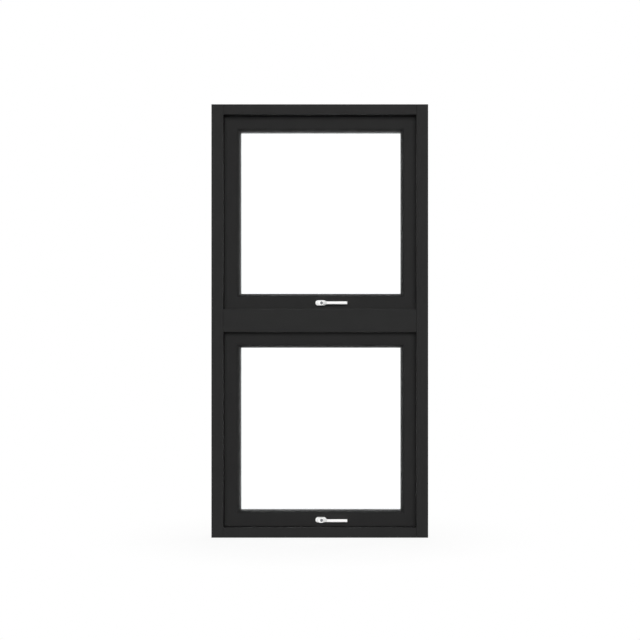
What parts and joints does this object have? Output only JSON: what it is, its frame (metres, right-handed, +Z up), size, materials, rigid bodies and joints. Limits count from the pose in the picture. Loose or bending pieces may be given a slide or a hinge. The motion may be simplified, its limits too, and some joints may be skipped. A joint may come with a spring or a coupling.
{
  "type": "top-hung window",
  "caption": "Timber window with top-hung double-glazed sashes one above the other, outdoor hinges, side stays and handle-driven locks in a dark frame.",
  "frame": {"origin": "middle of the sill's underside, half-way through the frame's depth", "axes": "+X to the right seen from the room, +Y outdoors, +Z up"},
  "size_m": [0.8, 0.1245, 1.6],
  "materials": {
    "painted_timber": "satin paint, near black",
    "clear_glass": "clear float",
    "spacer_aluminium": "mill",
    "black_rubber": "matt",
    "block_plastic": "moulded",
    "zinc_plated_steel": "bright zinc plate",
    "white_powder_coat": "gloss white powder coat",
    "button_steel": "satin nickel plate"
  },
  "bodies": {
    "frame": {"left_jamb": "painted_timber", "right_jamb": "painted_timber", "head": "painted_timber", "transom": "painted_timber", "sill": "painted_timber", "weather_seals": "black_rubber", "frame_hinge_leaves": "zinc_plated_steel", "hinge_pins": "zinc_plated_steel", "lock_keeps": "zinc_plated_steel", "stay_brackets": "zinc_plated_steel"},
    "lower_sash": {"lower_left_stile": "painted_timber", "lower_right_stile": "painted_timber", "lower_top_rail": "painted_timber", "lower_bottom_rail": "painted_timber", "lower_inner_pane": "clear_glass", "lower_outer_pane": "clear_glass", "lower_glass_spacer": "spacer_aluminium", "lower_glazing_seals": "black_rubber", "lower_glazing_beads": "painted_timber", "lower_setting_blocks": "block_plastic", "lower_sash_hinge_leaves": "zinc_plated_steel", "lower_stay_tracks": "zinc_plated_steel", "lower_faceplate": "zinc_plated_steel", "lower_gearbox_case": "zinc_plated_steel", "lower_handle_rose": "white_powder_coat"},
    "lower_handle": {"lower_lever": "white_powder_coat", "lower_spindle": "zinc_plated_steel", "lower_pinion": "zinc_plated_steel"},
    "lower_lock_button": {"lower_lock_button": "button_steel"},
    "lower_drive_bar": {"lower_drive_bar": "zinc_plated_steel", "lower_cams": "zinc_plated_steel"},
    "lower_left_stay_arm": {"lower_left_stay_arm": "zinc_plated_steel"},
    "lower_right_stay_arm": {"lower_right_stay_arm": "zinc_plated_steel"},
    "upper_sash": {"upper_left_stile": "painted_timber", "upper_right_stile": "painted_timber", "upper_top_rail": "painted_timber", "upper_bottom_rail": "painted_timber", "upper_inner_pane": "clear_glass", "upper_outer_pane": "clear_glass", "upper_glass_spacer": "spacer_aluminium", "upper_glazing_seals": "black_rubber", "upper_glazing_beads": "painted_timber", "upper_setting_blocks": "block_plastic", "upper_sash_hinge_leaves": "zinc_plated_steel", "upper_stay_tracks": "zinc_plated_steel", "upper_faceplate": "zinc_plated_steel", "upper_gearbox_case": "zinc_plated_steel", "upper_handle_rose": "white_powder_coat"},
    "upper_handle": {"upper_lever": "white_powder_coat", "upper_spindle": "zinc_plated_steel", "upper_pinion": "zinc_plated_steel"},
    "upper_lock_button": {"upper_lock_button": "button_steel"},
    "upper_drive_bar": {"upper_drive_bar": "zinc_plated_steel", "upper_cams": "zinc_plated_steel"},
    "upper_left_stay_arm": {"upper_left_stay_arm": "zinc_plated_steel"},
    "upper_right_stay_arm": {"upper_right_stay_arm": "zinc_plated_steel"}
  },
  "joints": [
    {"name": "lower_sash_hinge", "type": "hinge", "parent": "frame", "child": "lower_sash", "pos_m": [0, 0.0625, 0.7725], "axis": [1, 0, 0], "range_deg": [0, 30]},
    {"name": "lower_handle_turn", "type": "hinge", "parent": "lower_sash", "child": "lower_handle", "pos_m": [0, -0.0045, 0.061], "axis": [0, -1, 0], "range_deg": [0, 90]},
    {"name": "lower_button_press", "type": "slide", "parent": "lower_handle", "child": "lower_lock_button", "axis": [0, 1, 0], "range_m": [0, 0.0025], "stiffness_N_per_m": 400, "springref_m": -0.002},
    {"name": "lower_bar_slide", "type": "slide", "parent": "lower_sash", "child": "lower_drive_bar", "axis": [1, 0, 0], "range_m": [0, 0.01575]},
    {"name": "lower_left_stay_turn", "type": "hinge", "parent": "frame", "child": "lower_left_stay_arm", "pos_m": [-0.37, 0.04225, 0.60371], "axis": [1, 0, 0], "range_deg": [0, 60.1]},
    {"name": "lower_right_stay_turn", "type": "hinge", "parent": "frame", "child": "lower_right_stay_arm", "pos_m": [0.37, 0.04225, 0.60371], "axis": [1, 0, 0], "range_deg": [0, 60.1]},
    {"name": "upper_sash_hinge", "type": "hinge", "parent": "frame", "child": "upper_sash", "pos_m": [0, 0.0625, 1.576], "axis": [1, 0, 0], "range_deg": [0, 30]},
    {"name": "upper_handle_turn", "type": "hinge", "parent": "upper_sash", "child": "upper_handle", "pos_m": [0, -0.0045, 0.8675], "axis": [0, -1, 0], "range_deg": [0, 90]},
    {"name": "upper_button_press", "type": "slide", "parent": "upper_handle", "child": "upper_lock_button", "axis": [0, 1, 0], "range_m": [0, 0.0025], "stiffness_N_per_m": 400, "springref_m": -0.002},
    {"name": "upper_bar_slide", "type": "slide", "parent": "upper_sash", "child": "upper_drive_bar", "axis": [1, 0, 0], "range_m": [0, 0.01575]},
    {"name": "upper_left_stay_turn", "type": "hinge", "parent": "frame", "child": "upper_left_stay_arm", "pos_m": [-0.37, 0.04225, 1.40721], "axis": [1, 0, 0], "range_deg": [0, 60.1]},
    {"name": "upper_right_stay_turn", "type": "hinge", "parent": "frame", "child": "upper_right_stay_arm", "pos_m": [0.37, 0.04225, 1.40721], "axis": [1, 0, 0], "range_deg": [0, 60.1]}
  ],
  "couplings": [
    {"joint": "lower_bar_slide", "follows": "lower_handle_turn", "m_per_rad": 0.01},
    {"joint": "lower_left_stay_turn", "follows": "lower_sash_hinge", "ratio": 2},
    {"joint": "lower_right_stay_turn", "follows": "lower_sash_hinge", "ratio": 2},
    {"joint": "upper_bar_slide", "follows": "upper_handle_turn", "m_per_rad": 0.01},
    {"joint": "upper_left_stay_turn", "follows": "upper_sash_hinge", "ratio": 2},
    {"joint": "upper_right_stay_turn", "follows": "upper_sash_hinge", "ratio": 2}
  ]
}
